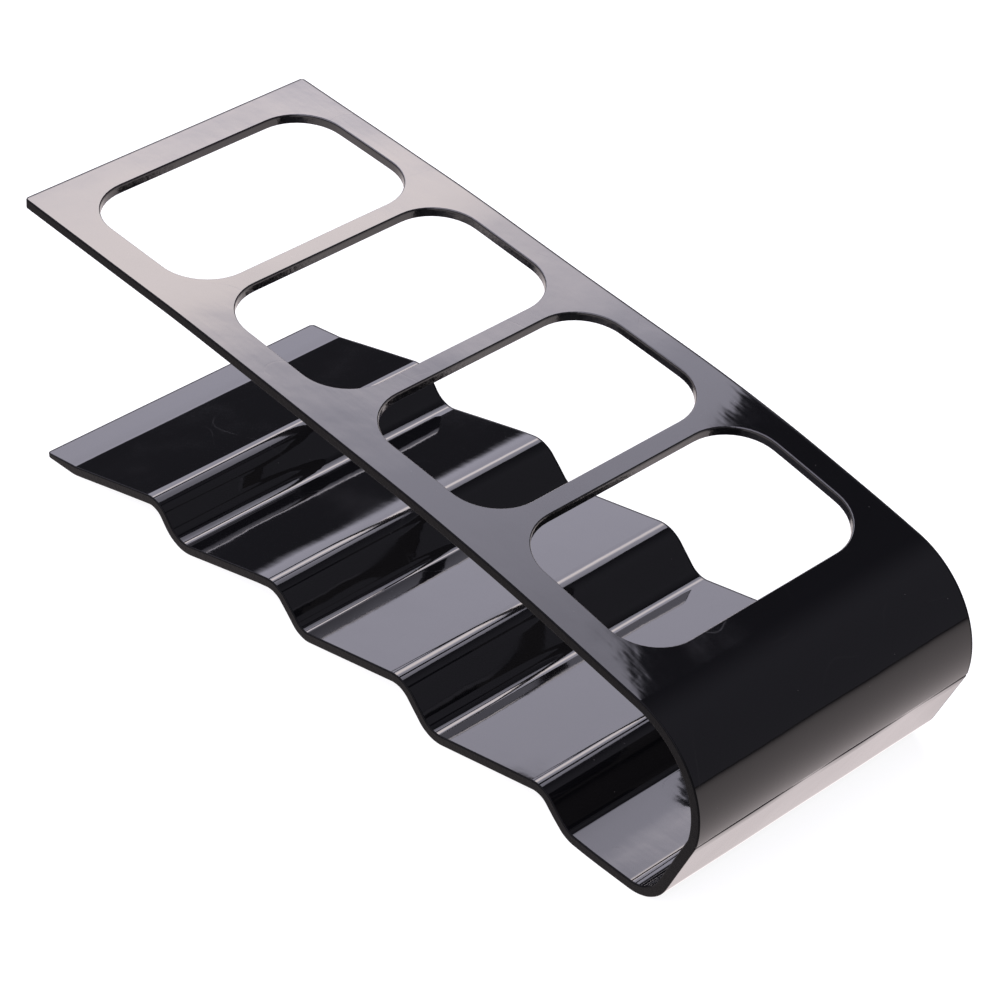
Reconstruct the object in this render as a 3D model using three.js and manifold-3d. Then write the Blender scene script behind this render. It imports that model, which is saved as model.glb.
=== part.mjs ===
// Desk rack bent from one sheet of gloss black plastic. Millimetres, +Z up.
// +Y points from the rounded front to the open rear edge, X runs across the sheet, and the origin
// is on the desk, under the middle of the rack.
// The sheet is followed along its middle line: rear lip, four steps, heel, toe fold, front bend,
// and back over the steps as a slotted top. It is cut straight across in flat stretches, so that
// every node is a short region of the sheet.

import * as THREE from 'three';
import { mergeVertices } from 'three/addons/utils/BufferGeometryUtils.js';
import Module from 'manifold-3d';

const SHEET_WIDTH = 100;
const SHEET_THICKNESS = 3;
const REAR_CORNER_RADIUS = 1;

// Where the middle line lies when the underside rests on the desk.
const ON_DESK = SHEET_THICKNESS / 2;

// The rear lip thins towards its free edge, with its underside flat on the desk.
const LIP_EDGE_THICKNESS = 1.3;

// Four openings in the top, counted from its rear edge along the sheet. They lie a little off the
// sheet's middle, so the rail on the +X side is the narrower one.
const OPENING_COUNT = 4;
const OPENING_WIDTH = 81.6;
const OPENING_LENGTH = 51.3;
const OPENING_CORNER_RADIUS = 14.5;
const OPENING_OFFSET = 1.1;
const REAR_MARGIN = 10.9;
const CROSS_BAR = 6.2;

// Corners of the middle line before they are rounded, with the radius of each bend.
const REAR_LIP = [
  { y: 125.6, z: LIP_EDGE_THICKNESS / 2, radius: 0, thickness: LIP_EDGE_THICKNESS },
  { y: 113.2, z: 1.62, radius: 15 },
];
const STEPS = [
  { y: 76.4, z: 11.5, radius: 6.5 },
  { y: 68.2, z: 1.2, radius: 9 },
  { y: 25.8, z: 13.1, radius: 7 },
  { y: 15.4, z: 2.6, radius: 6 },
  { y: -25.1, z: 12.3, radius: 8 },
  { y: -36.2, z: 1.1, radius: 8 },
  { y: -78.4, z: 11.1, radius: 7 },
  { y: -87.4, z: ON_DESK, radius: 6 },
];
const FRONT = [
  { y: -118.1, z: ON_DESK, radius: 12 },
  { y: -129.6, z: 28.6, radius: 3 },
  { y: -134.3, z: 55, radius: 26 },
];
const TOP = [
  { y: -46.8, z: 70.4, radius: 700 },
  { y: 61.2, z: 79.3, radius: 900 },
  { y: 132.1, z: 82.54, radius: 0 },
];
const CORNERS = [...REAR_LIP, ...STEPS, ...FRONT, ...TOP];

// A cut lies on the straight after a corner, at a share of that straight's length.
const HEEL_CUT = { after: REAR_LIP.length + STEPS.length - 1, share: 0.08 };
const BAND_CUT = { after: REAR_LIP.length + STEPS.length, share: 0.5 };
const TOP_CUT = { after: CORNERS.length - TOP.length - 1, share: 0.1 };

const FACET_ANGLE = THREE.MathUtils.degToRad(6);
const LONG_BEND_FACETS = 8;
const CORNER_FACETS = 12;
const CUTTER_DEPTH = 20;

const GLOSS_BLACK = { color: 0x08080a, roughness: 0.06, metalness: 0 };

const { Manifold, Mesh } = await loadManifold();

async function loadManifold() {
  const library = await Module();
  library.setup();
  return library;
}

// Rounds each corner into an arc. Returns one list of stations per corner, each station holding
// a point on the middle line, the direction that the sheet runs in there, and its thickness.
function roundedCorners(corners) {
  const points = corners.map(({ y, z }) => new THREE.Vector2(y, z));
  return corners.map(({ radius, thickness = SHEET_THICKNESS }, i) => {
    const here = points[i];
    if (i === 0 || i === corners.length - 1) {
      const a = points[Math.max(i - 1, 0)];
      const b = points[Math.min(i + 1, corners.length - 1)];
      return [{ point: here, along: b.clone().sub(a).normalize(), thickness }];
    }
    const before = here.clone().sub(points[i - 1]).normalize();
    const after = points[i + 1].clone().sub(here).normalize();
    return arcStations(here, before, after, radius);
  });
}

function arcStations(corner, before, after, radius) {
  const turn = Math.atan2(before.cross(after), before.dot(after));
  const tangent = radius * Math.tan(Math.abs(turn) / 2);
  const start = corner.clone().addScaledVector(before, -tangent);
  const centre = start.clone().addScaledVector(leftOf(before), Math.sign(turn) * radius);
  const facets = Math.max(LONG_BEND_FACETS, Math.ceil(Math.abs(turn) / FACET_ANGLE));
  return Array.from({ length: facets + 1 }, (_, k) => {
    const angle = (turn * k) / facets;
    return {
      point: start.clone().rotateAround(centre, angle),
      along: before.clone().rotateAround(new THREE.Vector2(), angle),
      thickness: SHEET_THICKNESS,
    };
  });
}

function leftOf(direction) {
  return new THREE.Vector2(-direction.y, direction.x);
}

const BEND_STATIONS = roundedCorners(CORNERS);

function stationAt({ after, share }) {
  const start = BEND_STATIONS[after].at(-1);
  const end = BEND_STATIONS[after + 1][0];
  return { ...start, point: start.point.clone().lerp(end.point, share) };
}

// Stations from one cut to the next. A missing cut means the sheet's own edge.
function stationsBetween(fromCut, toCut) {
  const first = fromCut ? fromCut.after + 1 : 0;
  const last = toCut ? toCut.after : CORNERS.length - 1;
  return [
    ...(fromCut ? [stationAt(fromCut)] : []),
    ...BEND_STATIONS.slice(first, last + 1).flat(),
    ...(toCut ? [stationAt(toCut)] : []),
  ];
}

// A stretch of sheet: its side outline, swept across the full width.
function sheetRegion(stations) {
  const face = (side) => stations.map(({ point, along, thickness }) =>
    point.clone().addScaledVector(leftOf(along), (side * thickness) / 2));
  const outline = new THREE.Shape([...face(1), ...face(-1).reverse()]);
  const solid = new THREE.ExtrudeGeometry(outline, { depth: SHEET_WIDTH, bevelEnabled: false });
  const acrossX = new THREE.Matrix4().makeBasis(
    new THREE.Vector3(0, 1, 0), new THREE.Vector3(0, 0, 1), new THREE.Vector3(1, 0, 0));
  return solid.applyMatrix4(acrossX).translate(-SHEET_WIDTH / 2, 0, 0);
}

function roundedRectangle(width, length, radius) {
  const x = width / 2 - radius;
  const y = length / 2 - radius;
  const quarter = Math.PI / 2;
  return new THREE.Shape()
    .absarc(x, y, radius, 0, quarter)
    .absarc(-x, y, radius, quarter, 2 * quarter)
    .absarc(-x, -y, radius, 2 * quarter, 3 * quarter)
    .absarc(x, -y, radius, 3 * quarter, 4 * quarter);
}

function plate(shape, depth) {
  const options = { depth, bevelEnabled: false, curveSegments: CORNER_FACETS };
  return new THREE.ExtrudeGeometry(shape, options).translate(0, 0, -depth / 2);
}

function toManifold(geometry) {
  const bare = geometry.clone();
  bare.deleteAttribute('normal');
  bare.deleteAttribute('uv');
  const welded = mergeVertices(bare.index ? bare.toNonIndexed() : bare);
  return new Manifold(new Mesh({
    numProp: 3,
    vertProperties: new Float32Array(welded.attributes.position.array),
    triVerts: new Uint32Array(welded.index.array),
  }));
}

function toGeometry(solid) {
  const { vertProperties, triVerts } = solid.getMesh();
  const geometry = new THREE.BufferGeometry();
  geometry.setAttribute('position', new THREE.BufferAttribute(vertProperties, 3));
  geometry.setIndex(new THREE.BufferAttribute(triVerts, 1));
  geometry.computeVertexNormals();
  return geometry;
}

// The station a given length in from the sheet's rear edge, measured along the top.
function stationFromRearEdge(length) {
  const stations = BEND_STATIONS.flat().reverse();
  let left = length;
  for (let i = 1; i < stations.length; i += 1) {
    const stretch = stations[i].point.distanceTo(stations[i - 1].point);
    if (left <= stretch) {
      return {
        point: stations[i - 1].point.clone().lerp(stations[i].point, left / stretch),
        along: stations[i].along,
      };
    }
    left -= stretch;
  }
  return stations.at(-1);
}

// The prism that cuts one opening square to the sheet.
function openingCutter(index) {
  const centre = REAR_MARGIN + OPENING_LENGTH / 2 + index * (OPENING_LENGTH + CROSS_BAR);
  const { point, along } = stationFromRearEdge(centre);
  const outline = roundedRectangle(OPENING_WIDTH, OPENING_LENGTH, OPENING_CORNER_RADIUS);
  return plate(outline, CUTTER_DEPTH)
    .rotateX(Math.atan2(along.y, along.x))
    .translate(OPENING_OFFSET, point.x, point.y);
}

// Rounds the two rear corners of the top. The blank reaches past its front cut.
function rearCornerBlank() {
  const { y: rearEdge, z: height } = CORNERS.at(-1);
  const length = 4 * rearEdge;
  return plate(roundedRectangle(SHEET_WIDTH, length, REAR_CORNER_RADIUS), length)
    .translate(0, rearEdge - length / 2, height);
}

function slottedTop() {
  const region = toManifold(sheetRegion(stationsBetween(TOP_CUT, null)));
  const cutters = Array.from({ length: OPENING_COUNT }, (_, i) => toManifold(openingCutter(i)));
  return toGeometry(Manifold.difference([region.intersect(toManifold(rearCornerBlank())), ...cutters]));
}

function sheetNode(name, geometry) {
  const mesh = new THREE.Mesh(geometry, new THREE.MeshStandardMaterial(GLOSS_BLACK));
  mesh.name = name;
  return mesh;
}

const rack = new THREE.Group();
rack.name = 'bent_sheet_rack';
rack.add(
  sheetNode('slotted_top', slottedTop()),
  sheetNode('front_bend', sheetRegion(stationsBetween(BAND_CUT, TOP_CUT))),
  sheetNode('toe_and_heel', sheetRegion(stationsBetween(HEEL_CUT, BAND_CUT))),
  sheetNode('stepped_base', sheetRegion(stationsBetween(null, HEEL_CUT))),
);

// The front bend bulges past its corners, so the rack is centred by what it really spans.
const span = new THREE.Box3().setFromObject(rack, true);
rack.position.y = -(span.min.y + span.max.y) / 2;

export default rack;
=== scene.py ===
import math

import bpy
import numpy as np
from mathutils import Matrix, Vector


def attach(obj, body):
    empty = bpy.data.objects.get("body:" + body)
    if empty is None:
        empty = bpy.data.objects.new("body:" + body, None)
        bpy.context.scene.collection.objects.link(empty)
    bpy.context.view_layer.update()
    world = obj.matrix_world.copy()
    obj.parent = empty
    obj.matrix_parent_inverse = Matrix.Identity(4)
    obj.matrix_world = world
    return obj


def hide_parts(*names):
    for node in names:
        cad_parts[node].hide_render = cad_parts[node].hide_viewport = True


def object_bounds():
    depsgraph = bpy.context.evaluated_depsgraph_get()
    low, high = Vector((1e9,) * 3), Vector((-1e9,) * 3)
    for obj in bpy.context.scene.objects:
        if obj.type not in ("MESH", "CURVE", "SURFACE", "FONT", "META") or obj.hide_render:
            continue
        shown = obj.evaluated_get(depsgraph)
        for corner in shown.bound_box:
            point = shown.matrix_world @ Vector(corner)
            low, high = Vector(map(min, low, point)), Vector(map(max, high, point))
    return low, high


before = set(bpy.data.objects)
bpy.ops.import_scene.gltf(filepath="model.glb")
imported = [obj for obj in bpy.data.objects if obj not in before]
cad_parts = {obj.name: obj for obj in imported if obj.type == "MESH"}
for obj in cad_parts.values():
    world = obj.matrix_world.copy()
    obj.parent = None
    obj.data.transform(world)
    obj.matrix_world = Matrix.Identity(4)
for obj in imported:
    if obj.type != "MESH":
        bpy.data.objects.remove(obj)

CAD_BOX = [list(corner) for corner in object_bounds()]

# ---------------------------------------------------------------- sizes, in metres

MM = 0.001
WIDTH = 100 * MM
THICKNESS = 3 * MM
EDGE_RADIUS = 0.4 * MM
CORNER_RADIUS = 1 * MM
LIP_EDGE_THICKNESS = 1.3 * MM

OPENING_COUNT = 4
OPENING_WIDTH = 81.6 * MM
OPENING_LENGTH = 51.3 * MM
OPENING_CORNER_RADIUS = 14.5 * MM
OPENING_OFFSET = 1.1 * MM
REAR_MARGIN = 10.9 * MM
CROSS_BAR = 6.2 * MM

# Corners of the sheet's middle line, from the rear lip to the top's rear edge: y, z and bend radius
# in millimetres, as the CAD model has them. The line is then centred over the origin.
CORNERS = [
    (125.6, 0.65, 0), (113.2, 1.62, 15),
    (76.4, 11.5, 6.5), (68.2, 1.2, 9),
    (25.8, 13.1, 7), (15.4, 2.6, 6),
    (-25.1, 12.3, 8), (-36.2, 1.1, 8),
    (-78.4, 11.1, 7), (-87.4, 1.5, 6),
    (-118.1, 1.5, 12), (-129.6, 28.6, 3), (-134.3, 55, 26),
    (-46.8, 70.4, 700), (61.2, 79.3, 900), (132.1, 82.54, 0),
]

FACET_ANGLE = math.radians(1.5)
FACET_LENGTH = 4 * MM
FEWEST_FACETS = 6

# Bends of the line, counted from the rear lip.
SOFT_CREST, LAST_FOOT, CREASED = 3, 8, 10


# ---------------------------------------------------------------- the sheet's middle line

class MiddleLine:
    """The line that the sheet follows: points, directions and lengths along it."""

    def __init__(self, corners):
        points, angles, bends = self._rounded(corners)
        y_low, y_high = CAD_BOX[0][1], CAD_BOX[1][1]
        normals = np.stack([-np.sin(angles), np.cos(angles)], 1)
        faces = np.concatenate([points + normals * THICKNESS / 2, points - normals * THICKNESS / 2])
        points[:, 0] += (y_low + y_high) / 2 - (faces[:, 0].min() + faces[:, 0].max()) / 2
        self.points = points
        self.angles = angles
        steps = np.linalg.norm(np.diff(points, axis=0), axis=1)
        self.lengths = np.concatenate([[0], np.cumsum(steps)])
        self.total = self.lengths[-1]
        self.bends = [self.lengths[bend].mean() for bend in bends]

    @staticmethod
    def _rounded(corners):
        """Rounds each corner into an arc: points, the line's angle at each, and each arc's ends."""
        corner = np.array([c[:2] for c in corners]) * MM
        radius = np.array([c[2] for c in corners]) * MM
        points = [corner[0]]
        angles = [math.atan2(*(corner[1] - corner[0])[::-1])]
        bends = []
        for i in range(1, len(corner) - 1):
            before = corner[i] - corner[i - 1]
            after = corner[i + 1] - corner[i]
            before = before / np.linalg.norm(before)
            after = after / np.linalg.norm(after)
            turn = math.atan2(before[0] * after[1] - before[1] * after[0], before @ after)
            start = corner[i] - before * radius[i] * math.tan(abs(turn) / 2)
            left = np.array([-before[1], before[0]])
            centre = start + left * math.copysign(radius[i], turn)
            first = angles[-1]
            arm = start - centre
            by_angle = math.ceil(abs(turn) / FACET_ANGLE)
            by_length = math.ceil(radius[i] * abs(turn) / FACET_LENGTH)
            count = max(FEWEST_FACETS, by_angle, by_length)
            bends.append([len(points), len(points) + count])
            for k in range(count + 1):
                a = turn * k / count
                spin = np.array([[math.cos(a), -math.sin(a)], [math.sin(a), math.cos(a)]])
                points.append(centre + spin @ arm)
                angles.append(first + a)
        points.append(corner[-1])
        angles.append(angles[-1])
        return np.array(points), np.array(angles), bends

    def at(self, length):
        y = np.interp(length, self.lengths, self.points[:, 0])
        z = np.interp(length, self.lengths, self.points[:, 1])
        angle = np.interp(length, self.lengths, self.angles)
        return y, z, angle


LINE = MiddleLine(CORNERS)
LIP_LENGTH = LINE.lengths[1]
CREASE = LINE.bends[CREASED]
BASE_BENDS = LINE.bends[:CREASED]


# ---------------------------------------------------------------- the flat blank

CORNER_FACETS = 12
SIDE_FACETS = 5
BAR_FACETS = 10
RING_ROWS = 3
REAR_ROWS = 4
GROOVE_ROWS = 17
CLOSE = 0.001 * MM


def corner_arc(centre, radius, first, last, count):
    turn = np.linspace(first, last, count + 1)
    return np.stack([centre[0] + radius * np.cos(turn), centre[1] + radius * np.sin(turn)], 1)


def signed_area(p):
    q = np.roll(p, -1, axis=0)
    return 0.5 * float(np.sum(p[:, 0] * q[:, 1] - q[:, 0] * p[:, 1]))


class Blank:
    """Quads of the flat sheet, in (across, along)."""

    def __init__(self):
        self.points = []
        self.index = {}
        self.quads = []

    def vertex(self, x, s):
        key = (round(x / CLOSE), round(s / CLOSE))
        if key not in self.index:
            self.index[key] = len(self.points)
            self.points.append((x, s))
        return self.index[key]

    def quad(self, *corners):
        """Adds a face, turned to run anticlockwise seen from above."""
        ids = [self.vertex(*c) for c in corners]
        ids = [v for i, v in enumerate(ids) if v != ids[i - 1]]
        area = signed_area(np.array([self.points[v] for v in ids]))
        self.quads.append(ids if area > 0 else ids[::-1])

    def grid(self, rows):
        """Rows of points, each row with the same number of points."""
        for low, high in zip(rows[:-1], rows[1:]):
            for i in range(len(low) - 1):
                self.quad(low[i], low[i + 1], high[i + 1], high[i])


def opening_outline(centre):
    """The opening's edge, grown by the edge radius, once round anticlockwise from its +X side."""
    half_x, half_s = OPENING_WIDTH / 2, OPENING_LENGTH / 2
    radius = OPENING_CORNER_RADIUS
    arcs = []
    for k, (sx, ss) in enumerate([(1, 1), (-1, 1), (-1, -1), (1, -1)]):
        middle = (OPENING_OFFSET + sx * (half_x - radius), centre + ss * (half_s - radius))
        first = k * math.pi / 2
        arcs.append(corner_arc(middle, radius + EDGE_RADIUS, first, first + math.pi / 2, CORNER_FACETS))
    outline = []
    for k in range(4):
        outline.extend(arcs[k])
        facets = BAR_FACETS if k % 2 == 0 else SIDE_FACETS
        start, end = arcs[k][-1], arcs[(k + 1) % 4][0]
        outline.extend(start + (end - start) * j / facets for j in range(1, facets))
    return np.array(outline)


def cell_outline(opening, low, high):
    """The cell round an opening, one point for each point of the opening's outline."""
    half = WIDTH / 2 - EDGE_RADIUS
    centre = (low + high) / 2
    reach = (high - low) / 2
    straight_x = OPENING_WIDTH / 2 - OPENING_CORNER_RADIUS
    straight_s = OPENING_LENGTH / 2 - OPENING_CORNER_RADIUS
    middle = (opening[:, 1].min() + opening[:, 1].max()) / 2
    out = []
    for x, s in opening:
        x = x - OPENING_OFFSET
        beyond_x = abs(x) - straight_x
        beyond_s = abs(s - middle) - straight_s
        sign_x = 1 if x > 0 else -1
        sign_s = 1 if s > middle else -1
        if beyond_x <= CLOSE:
            out.append((x, centre + sign_s * reach))
        elif beyond_s <= CLOSE:
            out.append((sign_x * half, s))
        else:
            turn = math.atan2(beyond_s, beyond_x) / (math.pi / 4)
            side_start = middle + sign_s * straight_s
            side_end = centre + sign_s * reach
            if turn <= 1 + CLOSE:
                out.append((sign_x * half, side_start + (side_end - side_start) * min(turn, 1)))
            else:
                out.append((sign_x * (straight_x + (half - straight_x) * (2 - turn)), side_end))
    return np.array(out)


def make_blank():
    """The flat sheet: rings of quads round the openings, and plain rows on either side of them."""
    blank = Blank()
    pitch = OPENING_LENGTH + CROSS_BAR
    centres = [LINE.total - REAR_MARGIN - OPENING_LENGTH / 2 - i * pitch for i in range(OPENING_COUNT)]
    loops = []
    row_xs = None
    for centre in centres:
        low, high = centre - pitch / 2, centre + pitch / 2
        opening = opening_outline(centre)
        cell = cell_outline(opening, low, high)
        rows = [opening + (cell - opening) * k / RING_ROWS for k in range(RING_ROWS + 1)]
        rows = [np.vstack([row, row[:1]]) for row in rows]
        blank.grid(rows)
        loops.append([blank.vertex(*p) for p in opening])
        if row_xs is None:
            row_xs = sorted({round(x, 9) for x, s in cell if abs(s - low) < CLOSE})
    row_xs = np.array(row_xs)
    cells_low = centres[-1] - pitch / 2
    cells_high = centres[0] + pitch / 2

    stations = plain_stations(EDGE_RADIUS + CORNER_RADIUS, cells_low)
    rows = [[(x, s) for x in row_xs] for s in stations]
    blank.grid(end_rows(row_xs, EDGE_RADIUS, 1)[::-1] + rows)
    rear = np.linspace(cells_high, LINE.total - EDGE_RADIUS - CORNER_RADIUS, REAR_ROWS)
    rows = [[(x, s) for x in row_xs] for s in rear]
    blank.grid(rows + end_rows(row_xs, LINE.total - EDGE_RADIUS, -1))
    loops.append(outer_loop(blank, loops))
    return blank, loops


def plain_stations(low, high):
    """Places along the stretch without openings: the line's own, and close ones at the crease."""
    groove = CREASE + np.linspace(-2, 2, GROOVE_ROWS) * GROOVE_WIDTH
    inside = sorted(s for s in [*LINE.lengths, *groove] if low + CLOSE < s < high - CLOSE)
    marks = [low] + inside + [high]
    out = [low]
    for a, b in zip(marks[:-1], marks[1:]):
        pieces = max(1, math.ceil((b - a) / FACET_LENGTH))
        out.extend(a + (b - a) * k / pieces for k in range(1, pieces + 1))
    return out


def end_rows(row_xs, end, inward):
    """The last rows of the sheet, which shrink round its corners."""
    half = row_xs[-1]
    rows = []
    for k in range(1, CORNER_FACETS + 1):
        turn = k / CORNER_FACETS * math.pi / 2
        s = end + inward * CORNER_RADIUS * (1 - math.sin(turn))
        reach = half - CORNER_RADIUS * (1 - math.cos(turn))
        rows.append([(x * reach / half, s) for x in row_xs])
    return rows


def outer_loop(blank, inner_loops):
    """Boundary vertices of the quads that are on no opening, walked in order."""
    seen = {}
    for q in blank.quads:
        for a, b in zip(q, q[1:] + q[:1]):
            if (b, a) in seen:
                del seen[(b, a)]
            else:
                seen[(a, b)] = True
    inner = {v for loop in inner_loops for v in loop}
    following = {a: b for a, b in seen if a not in inner}
    start = next(iter(following))
    loop = [start]
    while following[loop[-1]] != start:
        loop.append(following[loop[-1]])
    return loop


# ---------------------------------------------------------------- unevenness of the bent sheet

LONG_WAVES = {"seed": 3, "longest": 60 * MM, "count": 7, "amplitude": 0.05 * MM}
SHORT_WAVES = {"seed": 5, "longest": 22 * MM, "count": 9, "amplitude": 0.008 * MM}
SHORTEST_WAVE = 0.45                               # as a share of the longest
RIPPLE_SEED = 11
RIPPLE_PITCH = (3.2 * MM, 4.6 * MM)
RIPPLE_HEIGHT = (0.012 * MM, 0.022 * MM)
RIPPLE_REACH = 5 * MM
RIPPLE_DRIFT = 0.6 * MM
DRIFT_LENGTH = 34 * MM
GROOVE_WIDTH = 0.22 * MM
GROOVE_DEPTH = 0.4 * MM
GROOVE_STRETCHES = (9 * MM, 23 * MM)
FLARE = 1.2 * MM
FLARE_START = 0.6 * WIDTH / 2
FLARE_REACH = (0, 60 * MM, 80 * MM, 175 * MM)      # past the crease: starts, is full, fades, ends
SKEW = 1.2 * MM
SKEW_REACH = 90 * MM
CREST_DROP = 0.3 * MM
CREST_WIDTH = 5 * MM
HEEL_RISE = 0.57 * MM
HEEL_ONSET = 8 * MM
HEEL_RUN = 14 * MM
STEP = 0.02 * MM                                   # the short way over which slopes are taken


def smooth(value, low, high):
    """0 up to low and 1 from high on, with a smooth step between."""
    t = np.clip((value - low) / (high - low), 0, 1)
    return t * t * (3 - 2 * t)


def waves(x, s, seed, longest, count, amplitude):
    """A sum of a few low sine waves with seeded directions and phases."""
    draw = np.random.default_rng(seed)
    total = np.zeros_like(x)
    for k in range(count):
        heading = draw.uniform(0, math.pi)
        length = longest * draw.uniform(SHORTEST_WAVE, 1)
        phase = draw.uniform(0, 2 * math.pi)
        along = x * math.cos(heading) + s * math.sin(heading)
        total += np.sin(2 * math.pi * along / length + phase) * (length / longest) ** 1.5
    return total * amplitude / math.sqrt(count)


def ripples(x, s):
    """Heat bending leaves a few fine ripples that run across the sheet on both sides of a bend."""
    draw = np.random.default_rng(RIPPLE_SEED)
    total = np.zeros_like(x)
    for middle in BASE_BENDS:
        pitch = draw.uniform(*RIPPLE_PITCH)
        height = draw.uniform(*RIPPLE_HEIGHT)
        drift = draw.uniform(-RIPPLE_DRIFT, RIPPLE_DRIFT)
        phase = draw.uniform(0, 2 * math.pi)
        away = s - middle - drift * np.sin(x / DRIFT_LENGTH + phase)
        fade = np.exp(-(away / RIPPLE_REACH) ** 2)
        total += height * np.cos(2 * math.pi * away / pitch + phase) * fade
    return total


def crest_drop(s):
    """The second crest from the rear is bent more gradually than the others."""
    return CREST_DROP * np.exp(-((s - LINE.bends[SOFT_CREST]) / CREST_WIDTH) ** 2)


def heel_rise(s):
    """The last step runs out gradually, so the heel lies flat only some way past its foot."""
    foot = LINE.bends[LAST_FOOT]
    run_out = np.clip(1 - (s - foot) / HEEL_RUN, 0, 1) ** 2
    return HEEL_RISE * smooth(s, foot - HEEL_ONSET, foot) * run_out


def groove(x, s):
    """The crease where the toe was folded: fine, and deeper in some stretches than in others."""
    short, long = GROOVE_STRETCHES
    wander = np.sin(x / short + 1.5 * np.sin(x / long))
    depth = GROOVE_DEPTH * (0.55 + 0.45 * wander)
    return depth * np.exp(-((s - CREASE) / GROOVE_WIDTH) ** 2)


def thickness_share(s):
    """The sheet's thickness, as a share of its full thickness."""
    return np.interp(s, [0, LIP_LENGTH], [LIP_EDGE_THICKNESS / THICKNESS, 1])


def depth_at(x, s, z):
    """Height over the middle line of a point that lies z over the middle of the flat blank."""
    uneven = waves(x, s, **LONG_WAVES) + waves(x, s, **SHORT_WAVES) + ripples(x, s)
    uneven = uneven + crest_drop(s) - heel_rise(s)
    flat_lip = smooth(s, 0, 2 * LIP_LENGTH)
    outer = np.clip(z / (THICKNESS / 2), 0, 1)
    return z * thickness_share(s) + uneven * flat_lip - groove(x, s) * outer


def across_at(x, s):
    """The far side spreads a little where it was bent hot, and the rear lip sits slightly askew."""
    start, full, fading, end = (CREASE + reach for reach in FLARE_REACH)
    hot = smooth(s, start, full) * (1 - smooth(s, fading, end))
    flare = FLARE * smooth(x, FLARE_START, WIDTH / 2) * hot
    skew = SKEW * np.clip(1 - s / SKEW_REACH, 0, 1) ** 2
    return x + flare - skew


# ---------------------------------------------------------------- the bent sheet

EDGE_FACETS = 5
OUTER_ROLL = EDGE_RADIUS
OPENING_ROLL = 0.8 * MM
FACE_SLOT, OUTER_EDGE_SLOT, OPENING_EDGE_SLOT = range(3)


def edge_profile(drop):
    """From the top face round the edge to the bottom face: outward reach, height and normal's lean.
    The upper edge rolls over by drop, as a punched edge does."""
    turn = np.linspace(0, math.pi / 2, EDGE_FACETS + 1)
    upper = []
    for a in turn:
        lean = math.atan2(drop * math.sin(a), EDGE_RADIUS * math.cos(a))
        upper.append((EDGE_RADIUS * math.sin(a), THICKNESS / 2 - drop * (1 - math.cos(a)), lean))
    straight = THICKNESS / 2 - EDGE_RADIUS
    lower = [(EDGE_RADIUS * math.sin(a), -straight - EDGE_RADIUS * math.cos(a), math.pi - a)
             for a in reversed(turn)]
    return upper + lower


def loop_outward(points, loop):
    """At each point of a loop, the direction square to its edge, away from the sheet."""
    p = points[loop]
    edge = np.roll(p, -1, axis=0) - p
    edge /= np.linalg.norm(edge, axis=1)[:, None]
    side = np.stack([edge[:, 1], -edge[:, 0]], 1)
    out = side + np.roll(side, 1, axis=0)
    return out / np.linalg.norm(out, axis=1)[:, None]


def bend(flat, normals):
    """Takes the flat blank's points and normals to their place along the middle line."""
    x, s, z = flat.T
    y, height, angle = LINE.at(s)
    cos, sin = np.cos(angle), np.sin(angle)
    depth = depth_at(x, s, z)
    # The face that is up on the blank comes to lie to the left of the line, seen from +X.
    place = np.stack([across_at(x, s), y - sin * depth, height + cos * depth], 1)
    rise_x = (depth_at(x + STEP, s, z) - depth) / STEP
    rise_s = (depth_at(x, s + STEP, z) - depth) / STEP
    out = normals[:, 2] / thickness_share(s)
    across = normals[:, 0] - rise_x * out
    along = normals[:, 1] - rise_s * out
    turned = np.stack([across, cos * along - sin * out, sin * along + cos * out], 1)
    return place, turned / np.linalg.norm(turned, axis=1)[:, None]


def make_sheet():
    """Both faces of the sheet and the rounded edges between them, bent into place."""
    blank, loops = make_blank()
    plan = np.array(blank.points)
    count = len(plan)
    flat, normals, faces, slots = [], [], [], []
    for side in (1, -1):
        flat.append(np.column_stack([plan, np.full(count, side * THICKNESS / 2)]))
        normals.append(np.tile([0, 0, side], (count, 1)))
    faces += [list(q) for q in blank.quads]
    faces += [[v + count for v in reversed(q)] for q in blank.quads]
    slots += [FACE_SLOT] * len(faces)
    offset = 2 * count
    for loop in loops:
        ring = list(loop)
        is_outer = loop is loops[-1]
        profile = edge_profile(OUTER_ROLL if is_outer else OPENING_ROLL)
        if (signed_area(plan[ring]) < 0) == is_outer:
            ring.reverse()
        outward = loop_outward(plan, ring)
        n = len(ring)
        layers = [ring]
        for reach, height, turn in profile[1:-1]:
            p = plan[ring] + outward * reach
            flat.append(np.column_stack([p, np.full(n, height)]))
            normals.append(np.column_stack([outward * math.sin(turn), np.full(n, math.cos(turn))]))
            layers.append(list(range(offset, offset + n)))
            offset += n
        layers.append([v + count for v in ring])
        for low, high in zip(layers[:-1], layers[1:]):
            for i in range(n):
                j = (i + 1) % n
                faces.append([low[i], high[i], high[j], low[j]])
                slots.append(OUTER_EDGE_SLOT if is_outer else OPENING_EDGE_SLOT)
    flat = np.vstack(flat)
    place, turned = bend(flat, np.vstack(normals))
    return flat, place, turned, faces, slots


def sheet_object():
    flat, place, turned, faces, slots = make_sheet()
    mesh = bpy.data.meshes.new("bent_sheet")
    mesh.from_pydata(place.tolist(), [], faces)
    mesh.update()
    for polygon, slot in zip(mesh.polygons, slots):
        polygon.material_index = slot
        polygon.use_smooth = True
    mesh.normals_split_custom_set_from_vertices(turned.tolist())
    layout = mesh.uv_layers.new(name="blank")
    for loop in mesh.loops:
        layout.data[loop.index].uv = flat[loop.vertex_index, :2]
    sheet = bpy.data.objects.new("bent_sheet", mesh)
    bpy.context.scene.collection.objects.link(sheet)
    return sheet


# ---------------------------------------------------------------- materials

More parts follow.
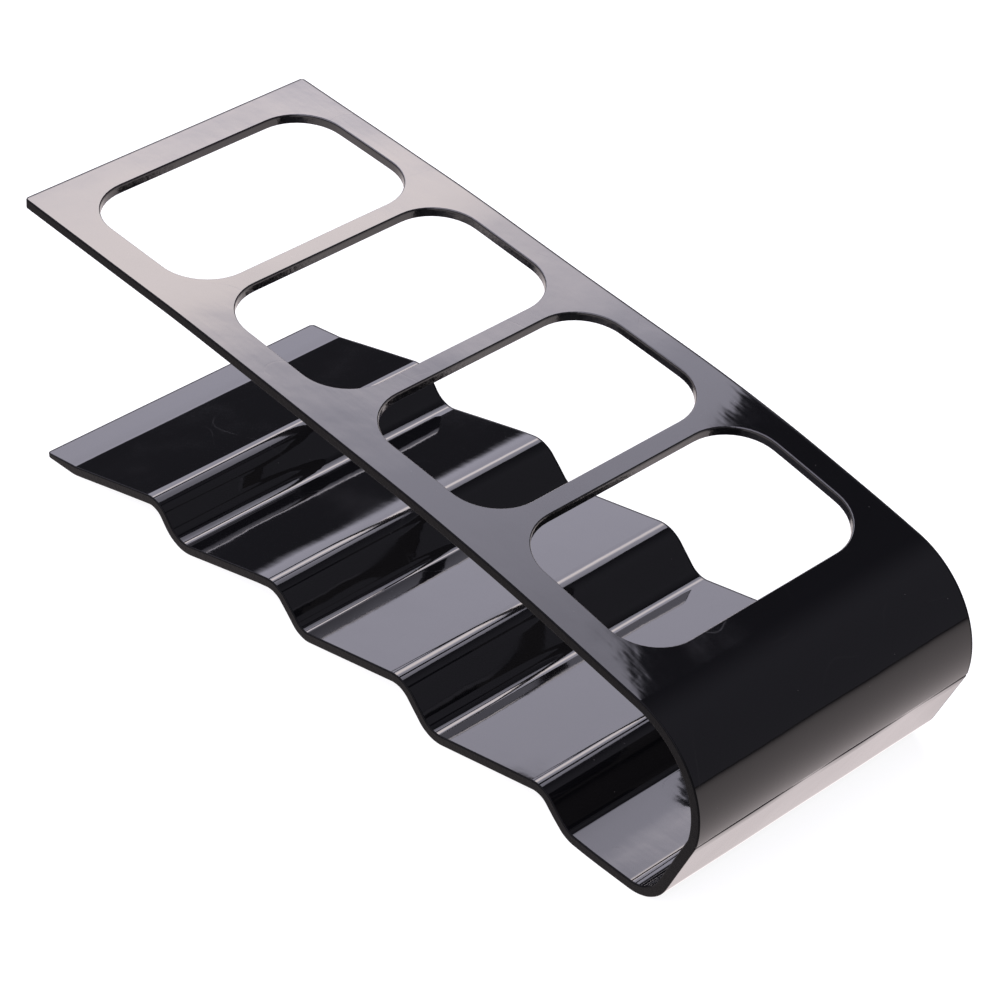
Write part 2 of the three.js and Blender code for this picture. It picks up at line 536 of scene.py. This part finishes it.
BLACK = (0.0022, 0.0022, 0.0026, 1)
DUST = (0.05, 0.048, 0.046, 1)
CUT_BLACK = (0.003, 0.003, 0.0033, 1)
PLASTIC_IOR = 1.52
GLOSS_ROUGHNESS = (0.035, 0.085)
SMUDGE_SIZE = 38 * MM
SMUDGE_RANGE = (0.45, 0.75)
DULL_BORDER = 1 * MM
DULL_ROUGHNESS = 0.3
DULL_SPECULAR_LOSS = 0.45
HAIRLINES = ({"size": 80 * MM, "width": 0.2 * MM, "seed": 0.31},
             {"size": 45 * MM, "width": 0.12 * MM, "seed": 0.87})
HAIR_PATCHES = (0.5, 0.64)
HAIR_DUST = 0.05
HAIR_ROUGHNESS = 0.06
SPECKS = {"size": 11 * MM, "radius": 0.2 * MM, "share": 0.14}
PEEL_SIZE = 5.5 * MM
PEEL_DEPTH = 0.014 * MM
DRAW_LINE_SIZE = 1.4 * MM
DRAW_LINE_DEPTH = 0.12 * PEEL_DEPTH
HAIR_DEPTH = 0.12 * PEEL_DEPTH
CUT_MARK_SIZE = 1.2 * MM
CUT_MARK_DEPTH = 0.05 * MM
SAWN_EDGE = {"roughness": 0.24, "ior": 1.12}
PUNCHED_EDGE = {"roughness": 0.16, "ior": 1.58}


def math_node(tree, operation, a, b=None, c=None):
    node = tree.nodes.new("ShaderNodeMath")
    node.operation = operation
    for socket, value in zip(node.inputs, (a, b, c)):
        if value is None:
            continue
        if isinstance(value, (int, float)):
            socket.default_value = value
        else:
            tree.links.new(value, socket)
    return node.outputs[0]


def smooth_step(tree, value, low, high, bottom=0, top=1):
    node = tree.nodes.new("ShaderNodeMapRange")
    node.interpolation_type = "SMOOTHSTEP"
    tree.links.new(value, node.inputs["Value"])
    node.inputs["From Min"].default_value = low
    node.inputs["From Max"].default_value = high
    node.inputs["To Min"].default_value = bottom
    node.inputs["To Max"].default_value = top
    return node.outputs["Result"]


def new_material(name):
    material = bpy.data.materials.new(name)
    material.use_nodes = True
    return material, material.node_tree


def rough_and_bumpy(tree, shader, roughness, height, distance):
    """Roughness, and a bump that is distance metres deep where height goes from 0 to 1."""
    tree.links.new(roughness, shader.inputs["Roughness"])
    bump = tree.nodes.new("ShaderNodeBump")
    bump.inputs["Distance"].default_value = distance
    tree.links.new(height, bump.inputs["Height"])
    tree.links.new(bump.outputs[0], shader.inputs["Normal"])


def texture_place(tree):
    """The place on the flat sheet, in metres, so that marks follow the bends."""
    node = tree.nodes.new("ShaderNodeUVMap")
    node.uv_map = "blank"
    return node.outputs["UV"]


def noise(tree, place, size, detail=2, roughness=0.5, stretch=(1, 1)):
    """Noise whose features are about size metres, stretched along the two sheet directions."""
    scaled = tree.nodes.new("ShaderNodeMapping")
    tree.links.new(place, scaled.inputs["Vector"])
    scaled.inputs["Scale"].default_value = (1 / (size * stretch[0]), 1 / (size * stretch[1]), 1)
    node = tree.nodes.new("ShaderNodeTexNoise")
    node.noise_dimensions = "2D"
    tree.links.new(scaled.outputs[0], node.inputs["Vector"])
    node.inputs["Scale"].default_value = 1
    node.inputs["Detail"].default_value = detail
    node.inputs["Roughness"].default_value = roughness
    return node.outputs["Fac"]


def scratches(tree, place, size, width, seed):
    """Thin curved hairlines: contour lines of smooth noise, shown only in patches."""
    shifted = tree.nodes.new("ShaderNodeMapping")
    tree.links.new(place, shifted.inputs["Vector"])
    shifted.inputs["Location"].default_value = (seed, seed * 0.7, 0)
    level = math_node(tree, "SUBTRACT", noise(tree, shifted.outputs[0], size, 1, 0.4), 0.5)
    line = smooth_step(tree, math_node(tree, "ABSOLUTE", level), width / size, 0)
    patch = smooth_step(tree, noise(tree, shifted.outputs[0], size * 0.4), *HAIR_PATCHES)
    return math_node(tree, "MULTIPLY", line, patch)


def specks(tree, place, size, radius, share):
    """Dust specks: small dots in some of the cells."""
    cells = tree.nodes.new("ShaderNodeTexVoronoi")
    cells.voronoi_dimensions = "2D"
    tree.links.new(place, cells.inputs["Vector"])
    cells.inputs["Scale"].default_value = 1 / size
    dot = smooth_step(tree, cells.outputs["Distance"], radius / size, 0)
    split = tree.nodes.new("ShaderNodeSeparateXYZ")
    tree.links.new(cells.outputs["Color"], split.inputs[0])
    chosen = math_node(tree, "LESS_THAN", split.outputs[0], share)
    return math_node(tree, "MULTIPLY", dot, chosen)


def dull_border(tree, place):
    """1 beside the sheet's two ends and its far side, which cutting has left dull, and 0 inside."""
    split = tree.nodes.new("ShaderNodeSeparateXYZ")
    tree.links.new(place, split.inputs[0])
    x, s = split.outputs[:2]
    ends = math_node(tree, "MINIMUM", s, math_node(tree, "SUBTRACT", LINE.total, s))
    inside = math_node(tree, "MINIMUM", ends, math_node(tree, "SUBTRACT", WIDTH / 2, x))
    return smooth_step(tree, inside, DULL_BORDER, EDGE_RADIUS)


def gloss_black():
    material, tree = new_material("gloss_black_plastic")
    shader = tree.nodes["Principled BSDF"]
    place = texture_place(tree)
    hair = math_node(tree, "MAXIMUM", *(scratches(tree, place, **line) for line in HAIRLINES))
    dust = specks(tree, place, **SPECKS)
    colour = tree.nodes.new("ShaderNodeMix")
    colour.data_type = "RGBA"
    colour.inputs["A"].default_value = BLACK
    colour.inputs["B"].default_value = DUST
    pale = math_node(tree, "MAXIMUM", dust, math_node(tree, "MULTIPLY", hair, HAIR_DUST))
    tree.links.new(pale, colour.inputs["Factor"])
    tree.links.new(colour.outputs["Result"], shader.inputs["Base Color"])
    shader.inputs["IOR"].default_value = PLASTIC_IOR
    dull = dull_border(tree, place)
    specular = math_node(tree, "MULTIPLY_ADD", dull, -DULL_SPECULAR_LOSS, 0.5)
    tree.links.new(specular, shader.inputs["Specular IOR Level"])
    smudge = noise(tree, place, SMUDGE_SIZE, 3, 0.6)
    smudge = smooth_step(tree, smudge, *SMUDGE_RANGE, *GLOSS_ROUGHNESS)
    rough = math_node(tree, "MULTIPLY_ADD", hair, HAIR_ROUGHNESS, smudge)
    rough = math_node(tree, "MULTIPLY_ADD", dull, DULL_ROUGHNESS, rough)
    # Orange peel, and faint draw lines along the sheet.
    peel = noise(tree, place, PEEL_SIZE, 2, 0.45, (1, 1.6))
    drawn = noise(tree, place, DRAW_LINE_SIZE, 1, 0.4, (1, 60))
    height = math_node(tree, "MULTIPLY_ADD", drawn, DRAW_LINE_DEPTH / PEEL_DEPTH, peel)
    height = math_node(tree, "MULTIPLY_ADD", hair, -HAIR_DEPTH / PEEL_DEPTH, height)
    rough_and_bumpy(tree, shader, rough, height, PEEL_DEPTH)
    return material


def cut_edge(name, roughness, ior):
    """A sawn or punched edge, with fine uneven marks."""
    material, tree = new_material(name)
    shader = tree.nodes["Principled BSDF"]
    shader.inputs["Base Color"].default_value = CUT_BLACK
    shader.inputs["IOR"].default_value = ior
    where = tree.nodes.new("ShaderNodeNewGeometry").outputs["Position"]
    marks = tree.nodes.new("ShaderNodeTexNoise")
    tree.links.new(where, marks.inputs["Vector"])
    marks.inputs["Scale"].default_value = 1 / CUT_MARK_SIZE
    marks.inputs["Detail"].default_value = 3
    height = marks.outputs["Fac"]
    rough = smooth_step(tree, height, 0.3, 0.7, roughness * 0.7, roughness * 1.4)
    rough_and_bumpy(tree, shader, rough, height, CUT_MARK_DEPTH)
    return material


sheet = sheet_object()
sheet.data.materials.append(gloss_black())
sheet.data.materials.append(cut_edge("sawn_edge_plastic", **SAWN_EDGE))
sheet.data.materials.append(cut_edge("punched_edge_plastic", **PUNCHED_EDGE))
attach(sheet, "root")
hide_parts("slotted_top", "front_bend", "toe_and_heel", "stepped_base")


# ---------------------------------------------------------------- studio

FLOOR_SIZE = 12
FLOOR_DROP = 0.2 * MM
FLOOR_GLOW = 0.86
FLOOR_GREY = (0.25, 0.25, 0.25, 1)
POOL_TINT = (1.07, 0.96, 0.97, 1)
POOL_REACH = 0.9
BRIGHT_RIM = 0.4
BRIGHT_RIM_REACH = 0.03
BACKGROUND = (0.95, 0.95, 0.95, 1)

DARK = 0.05
ROOM_BEHIND_CAMERA = 0.22
ROOM_TURN = 0.3

# The panel fills the half of the sky that lies against PANEL_EDGE, over its foot. Low and high on
# it, its brightness goes from one share to another between two heights, given as sines.
PANEL_BRIGHTNESS = 3.1
PANEL_TINT = (0.96, 0.93, 1.10, 1)
PANEL_EDGE = (0.719, -0.628, -0.308)
PANEL_EDGE_SOFTNESS = 0.004
PANEL_FOOT = (math.sin(math.radians(13.5)), math.sin(math.radians(17)))
PANEL_LOW = (0.28, 0.62, 0.85, 1.15)
PANEL_HIGH = (0.72, 0.86, 1, 0.6)

# The spot's middle is at an azimuth from +Y towards +X and an elevation, and its reach is sideways
# and upwards, all in degrees.
HOT_SPOT = (42.5, 38.5)
HOT_SPOT_REACH = (13, 6.5)
HOT_SPOT_CORE = 0.15
HOT_SPOT_BRIGHTNESS = 4.8
HOT_SPOT_TINT = (1.07, 0.965, 0.965, 1)


def add_shader(tree, kind, **values):
    node = tree.nodes.new(kind)
    for name, value in values.items():
        if isinstance(value, bpy.types.NodeSocket):
            tree.links.new(value, node.inputs[name])
        else:
            node.inputs[name].default_value = value
    return node.outputs[0]


def seen_or_reflected(tree, seen, reflected):
    """One shader for what the camera sees of the stage, and one for what lights the rack."""
    direct = tree.nodes.new("ShaderNodeLightPath").outputs["Is Camera Ray"]
    choice = tree.nodes.new("ShaderNodeMixShader")
    for socket, value in zip(choice.inputs, (direct, reflected, seen)):
        tree.links.new(value, socket)
    return choice.outputs[0]


def distance_from_rack(tree):
    """How far a place on the floor is from the rack's outline, seen from above."""
    place = tree.nodes.new("ShaderNodeNewGeometry").outputs["Position"]
    split = tree.nodes.new("ShaderNodeSeparateXYZ")
    tree.links.new(place, split.inputs[0])
    squares = []
    for socket, half in zip(split.outputs[:2], (WIDTH / 2, CAD_BOX[1][1])):
        beyond = math_node(tree, "SUBTRACT", math_node(tree, "ABSOLUTE", socket), half)
        beyond = math_node(tree, "MAXIMUM", beyond, 0)
        squares.append(math_node(tree, "MULTIPLY", beyond, beyond))
    return math_node(tree, "SQRT", math_node(tree, "ADD", *squares))


def floor_material():
    """Pale to the camera. To the rack it is a pool of light that fades far away."""
    material, tree = new_material("pale_floor")
    tree.nodes.clear()
    away = distance_from_rack(tree)
    fall = math_node(tree, "DIVIDE", away, POOL_REACH)
    broad = math_node(tree, "DIVIDE", 1, math_node(tree, "MULTIPLY_ADD", fall, fall, 1))
    rim = math_node(tree, "EXPONENT", math_node(tree, "DIVIDE", away, -BRIGHT_RIM_REACH))
    pool = math_node(tree, "MULTIPLY_ADD", rim, BRIGHT_RIM, broad)
    glow = add_shader(tree, "ShaderNodeEmission", Color=POOL_TINT, Strength=pool)
    both = tree.nodes.new("ShaderNodeAddShader")
    tree.links.new(add_shader(tree, "ShaderNodeEmission", Strength=FLOOR_GLOW), both.inputs[0])
    tree.links.new(add_shader(tree, "ShaderNodeBsdfDiffuse", Color=FLOOR_GREY), both.inputs[1])
    out = tree.nodes.new("ShaderNodeOutputMaterial")
    tree.links.new(seen_or_reflected(tree, both.outputs[0], glow), out.inputs["Surface"])
    return material


def floor():
    mesh = bpy.data.meshes.new("floor")
    h = FLOOR_SIZE / 2
    mesh.from_pydata([(-h, -h, 0), (h, -h, 0), (h, h, 0), (-h, h, 0)], [], [(0, 1, 2, 3)])
    mesh.materials.append(floor_material())
    plane = bpy.data.objects.new("floor", mesh)
    bpy.context.scene.collection.objects.link(plane)
    plane.location.z = -FLOOR_DROP


def dot_product(tree, vector, direction):
    node = tree.nodes.new("ShaderNodeVectorMath")
    node.operation = "DOT_PRODUCT"
    tree.links.new(vector, node.inputs[0])
    node.inputs[1].default_value = direction
    return node.outputs["Value"]


def direction_at(azimuth, elevation):
    a, e = math.radians(azimuth), math.radians(elevation)
    return (math.cos(e) * math.sin(a), math.cos(e) * math.cos(a), math.sin(e))


def panel_light(tree, direction, z):
    """A large soft panel over half of the sky, brightest at middle height."""
    past_edge = dot_product(tree, direction, PANEL_EDGE)
    inside = smooth_step(tree, past_edge, PANEL_EDGE_SOFTNESS, -PANEL_EDGE_SOFTNESS)
    light = math_node(tree, "MULTIPLY", inside, PANEL_BRIGHTNESS)
    for change in (PANEL_FOOT, PANEL_LOW, PANEL_HIGH):
        light = math_node(tree, "MULTIPLY", light, smooth_step(tree, z, *change))
    return light


def hot_spot(tree, direction):
    """1 in the core of an oval spot, falling to 0 at its edge."""
    azimuth, elevation = HOT_SPOT
    squares = []
    for axis, reach in zip(((azimuth + 90, 0), (azimuth + 180, 90 - elevation)), HOT_SPOT_REACH):
        offset = dot_product(tree, direction, direction_at(*axis))
        offset = math_node(tree, "DIVIDE", offset, math.sin(math.radians(reach)))
        squares.append(math_node(tree, "MULTIPLY", offset, offset))
    away = math_node(tree, "SQRT", math_node(tree, "ADD", *squares))
    return smooth_step(tree, away, 1, HOT_SPOT_CORE)


def studio_world():
    """A soft panel behind and to the left of the rack, in a dark room, with a hot spot in it."""
    world = bpy.data.worlds.new("studio")
    bpy.context.scene.world = world
    world.use_nodes = True
    tree = world.node_tree
    tree.nodes.clear()
    direction = tree.nodes.new("ShaderNodeTexCoord").outputs["Generated"]
    split = tree.nodes.new("ShaderNodeSeparateXYZ")
    tree.links.new(direction, split.inputs[0])
    _, y, z = split.outputs
    spot = hot_spot(tree, direction)
    hot = math_node(tree, "MULTIPLY", spot, HOT_SPOT_BRIGHTNESS)
    room = smooth_step(tree, y, ROOM_TURN, -ROOM_TURN, DARK, ROOM_BEHIND_CAMERA)
    total = math_node(tree, "ADD", math_node(tree, "ADD", hot, room), panel_light(tree, direction, z))
    tint = tree.nodes.new("ShaderNodeMix")
    tint.data_type = "RGBA"
    tree.links.new(spot, tint.inputs["Factor"])
    tint.inputs["A"].default_value = PANEL_TINT
    tint.inputs["B"].default_value = HOT_SPOT_TINT
    light = add_shader(tree, "ShaderNodeBackground", Color=tint.outputs["Result"], Strength=total)
    plain = add_shader(tree, "ShaderNodeBackground", Color=BACKGROUND)
    out = tree.nodes.new("ShaderNodeOutputWorld")
    tree.links.new(seen_or_reflected(tree, plain, light), out.inputs[0])


# ---------------------------------------------------------------- camera

EYE = Vector((-0.53573, -0.54957, 0.62463))
EYE_RIGHT = Vector((0.73035, -0.68204, 0.03753))
EYE_UP = Vector((0.39546, 0.46699, 0.79091))
EYE_BACK = Vector((-0.55696, -0.56279, 0.61078))
LENS = 129.47
SENSOR_WIDTH = 36
NEAREST, FARTHEST = 0.01, 100


def camera():
    data = bpy.data.cameras.new("camera")
    data.lens = LENS
    data.sensor_width = SENSOR_WIDTH
    data.clip_start = NEAREST
    data.clip_end = FARTHEST
    eye = bpy.data.objects.new("camera", data)
    axes = Matrix((EYE_RIGHT, EYE_UP, EYE_BACK)).transposed()
    eye.matrix_world = Matrix.Translation(EYE) @ axes.to_4x4()
    bpy.context.scene.collection.objects.link(eye)
    bpy.context.scene.camera = eye


floor()
studio_world()
camera()
bpy.context.scene.view_settings.view_transform = "Standard"
bpy.context.scene.view_settings.look = "None"
